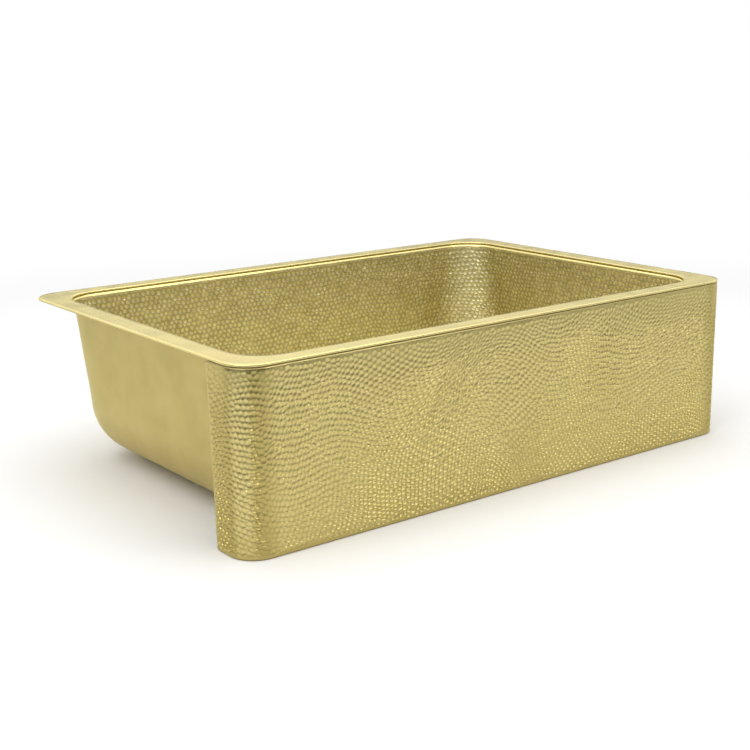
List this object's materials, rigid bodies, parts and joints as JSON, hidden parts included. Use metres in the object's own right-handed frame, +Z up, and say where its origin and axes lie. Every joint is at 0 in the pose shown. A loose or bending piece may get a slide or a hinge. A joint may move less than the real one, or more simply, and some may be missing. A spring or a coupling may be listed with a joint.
{
  "type": "farmhouse apron front sink",
  "caption": "Single-bowl apron front kitchen sink in hammered brass, with a flat rim, a folded apron and a recessed drain opening.",
  "frame": {"origin": "on the standing plane, under the middle of the sink's overall box", "axes": "+X along the width to the right of someone facing the apron, +Y from the apron to the back, +Z up"},
  "size_m": [0.8382, 0.5588, 0.232],
  "materials": {
    "rim_brass": "smooth satin, edges rounded over",
    "bowl_brass": "hand hammered inside, smooth satin outside",
    "apron_brass": "hand hammered outside, plain sheet behind",
    "stay_brass": "plain mill finish"
  },
  "bodies": {
    "root": {"rim_frame": "rim_brass", "basin": "bowl_brass", "apron_panel": "apron_brass", "apron_stay_left": "stay_brass", "apron_stay_centre": "stay_brass", "apron_stay_right": "stay_brass"}
  },
  "joints": []
}
